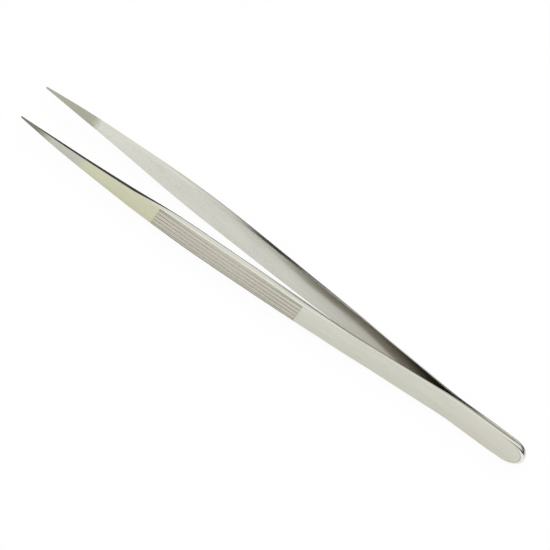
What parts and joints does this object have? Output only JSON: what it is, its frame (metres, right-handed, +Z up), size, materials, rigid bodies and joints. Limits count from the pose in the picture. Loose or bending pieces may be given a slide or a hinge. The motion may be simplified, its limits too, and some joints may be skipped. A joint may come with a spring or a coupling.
{
  "type": "tweezers",
  "caption": "Long fine-point tweezers: steel spring arms welded at a rounded heel, with fluted grips and needle points that pinch together.",
  "frame": {"origin": "under the middle of the bounding box, on the surface that the lower edges rest on", "axes": "+X from the heel to the points, +Y from the right arm to the left arm, +Z up across the width of the arms"},
  "size_m": [0.165, 0.0166, 0.0082],
  "materials": {
    "satin_steel": "satin stainless steel with a fine lengthwise grain",
    "weld_steel": "dull fused steel, hidden between the leaves"
  },
  "bodies": {
    "heel": {"left_heel": "satin_steel", "right_heel": "satin_steel", "spot_welds": "weld_steel"},
    "left_arm": {"left_arm": "satin_steel"},
    "right_arm": {"right_arm": "satin_steel"}
  },
  "joints": [
    {"name": "left_arm_flex", "type": "hinge", "parent": "heel", "child": "left_arm", "pos_m": [-0.0455, 0.00165, 0.0041], "axis": [0, 0, -1], "range_deg": [0, 3.22], "stiffness_Nm_per_rad": 3.6},
    {"name": "right_arm_flex", "type": "hinge", "parent": "heel", "child": "right_arm", "pos_m": [-0.0455, -0.00165, 0.0041], "axis": [0, 0, 1], "range_deg": [0, 3.22], "stiffness_Nm_per_rad": 3.6}
  ],
  "couplings": [
    {"joint": "right_arm_flex", "follows": "left_arm_flex", "ratio": 1}
  ]
}
